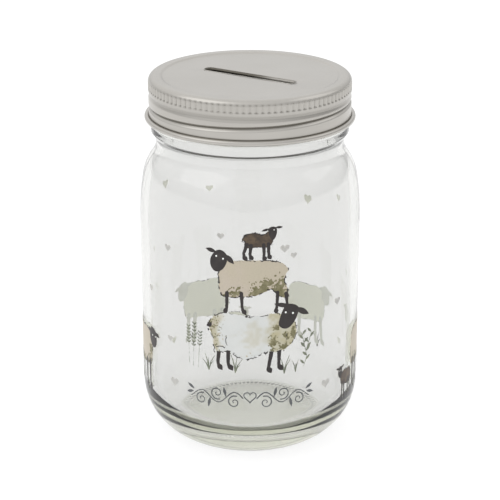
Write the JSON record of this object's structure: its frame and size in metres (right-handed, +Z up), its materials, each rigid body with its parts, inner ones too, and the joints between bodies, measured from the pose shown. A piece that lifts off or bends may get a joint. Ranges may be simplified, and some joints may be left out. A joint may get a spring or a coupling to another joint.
{
  "type": "coin bank jar",
  "caption": "Clear glass screw-top jar used as a coin bank: pressed metal screw lid with a coin slot, sealing ring, printed flock of sheep on the glass",
  "frame": {"origin": "centre of the ring that the jar rests on, at the bottom of the grip ribs under the base", "axes": "+Z up along the jar's axis, -Y towards the middle of the print, +X to the right as seen from the print"},
  "size_m": [0.0792, 0.0793, 0.1338],
  "materials": {
    "jar_glass": "clear polished",
    "lid_metal": "satin",
    "ring_liner": "matte",
    "ink_backing": "fired ceramic ink",
    "ink_white": "fired ceramic ink",
    "ink_cream": "fired ceramic ink",
    "ink_olive": "fired ceramic ink",
    "ink_brown": "fired ceramic ink",
    "ink_charcoal": "fired ceramic ink",
    "ink_hearts": "fired ceramic ink",
    "ink_sprigs": "fired ceramic ink",
    "ink_flourish": "fired ceramic ink"
  },
  "bodies": {
    "jar": {"glass_jar": "jar_glass", "print_backing": "ink_backing", "print_white": "ink_white", "print_cream": "ink_cream", "print_olive": "ink_olive", "print_brown": "ink_brown", "print_charcoal": "ink_charcoal", "print_hearts": "ink_hearts", "print_sprigs": "ink_sprigs", "print_flourish": "ink_flourish"},
    "ring": {"sealing_ring": "ring_liner"},
    "lid": {"lid": "lid_metal"}
  },
  "joints": [
    {"name": "lid_lift", "type": "slide", "parent": "jar", "child": "ring", "axis": [0, 0, 1], "range_m": [0, 0.0184]},
    {"name": "lid_turn", "type": "hinge", "parent": "ring", "child": "lid", "pos_m": [0, 0, 0], "axis": [0, 0, 1], "range_deg": [0, 1296]}
  ],
  "couplings": [
    {"joint": "lid_lift", "follows": "lid_turn", "m_per_rad": 0.00080851}
  ]
}
